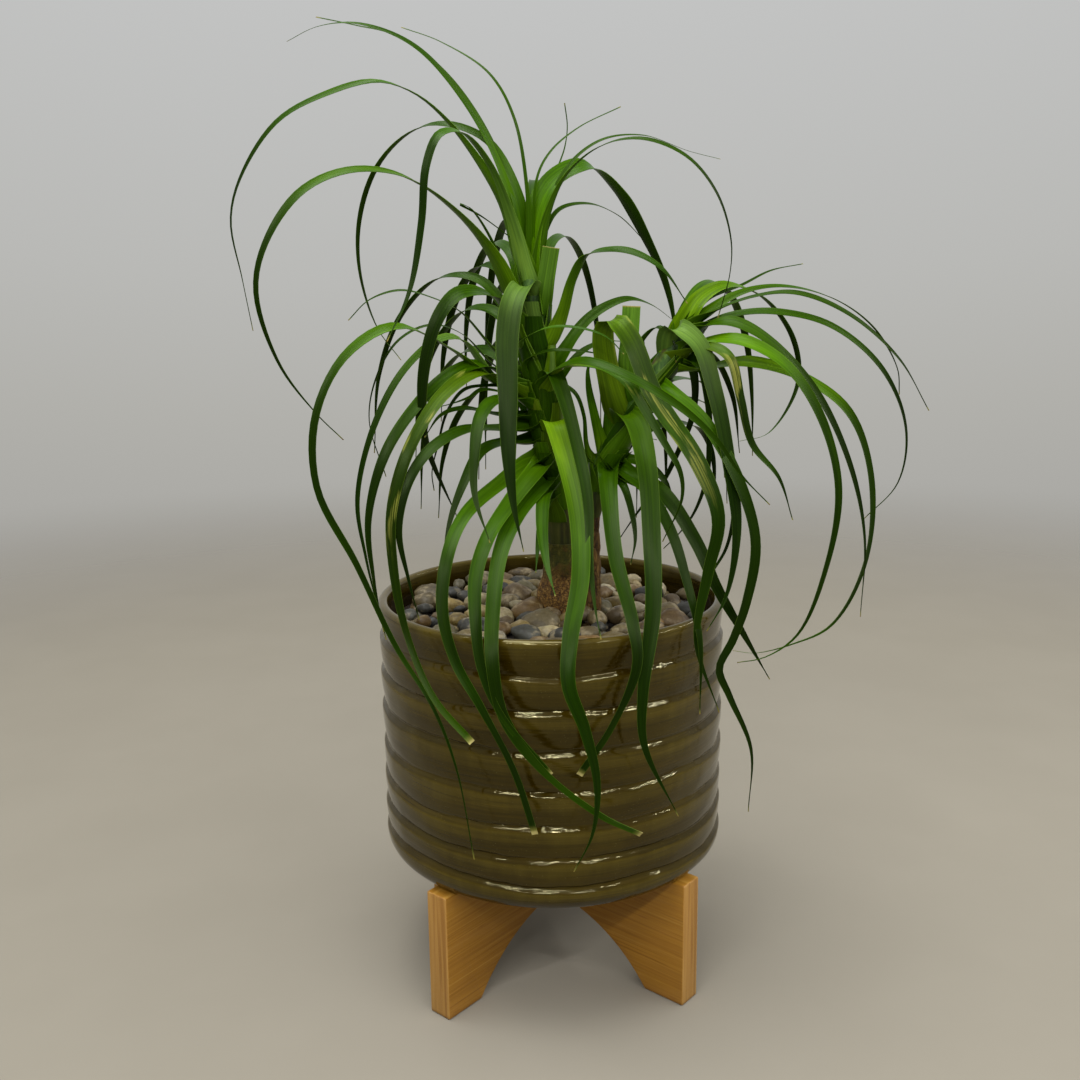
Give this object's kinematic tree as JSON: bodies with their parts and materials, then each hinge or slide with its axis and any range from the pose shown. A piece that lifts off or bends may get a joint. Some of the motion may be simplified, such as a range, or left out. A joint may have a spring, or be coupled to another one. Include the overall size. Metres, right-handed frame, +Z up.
{
  "type": "potted ponytail palm",
  "caption": "Ponytail palm with two shoots of long arching strap leaves, in a ribbed glazed pot topped with river pebbles, on a crossed-board wooden stand.",
  "frame": {"origin": "on the surface it stands on, under the middle of the outline of pot and leaves", "axes": "+Z up, -Y towards the side the picture shows, +X to that view's right"},
  "size_m": [0.3802, 0.2526, 0.5534],
  "materials": {
    "glaze": "gloss",
    "stand_wood": "satin",
    "soil": "matte",
    "pebbles": "satin",
    "bark": "matte",
    "foliage": "satin"
  },
  "bodies": {
    "root": {"pot": "glaze", "stand_board_left": "stand_wood", "stand_board_right": "stand_wood", "soil": "soil", "pebbles": "pebbles", "trunk_tall": "bark", "trunk_thin": "bark", "shoot_tall": "foliage", "shoot_leaning": "foliage"}
  },
  "joints": []
}
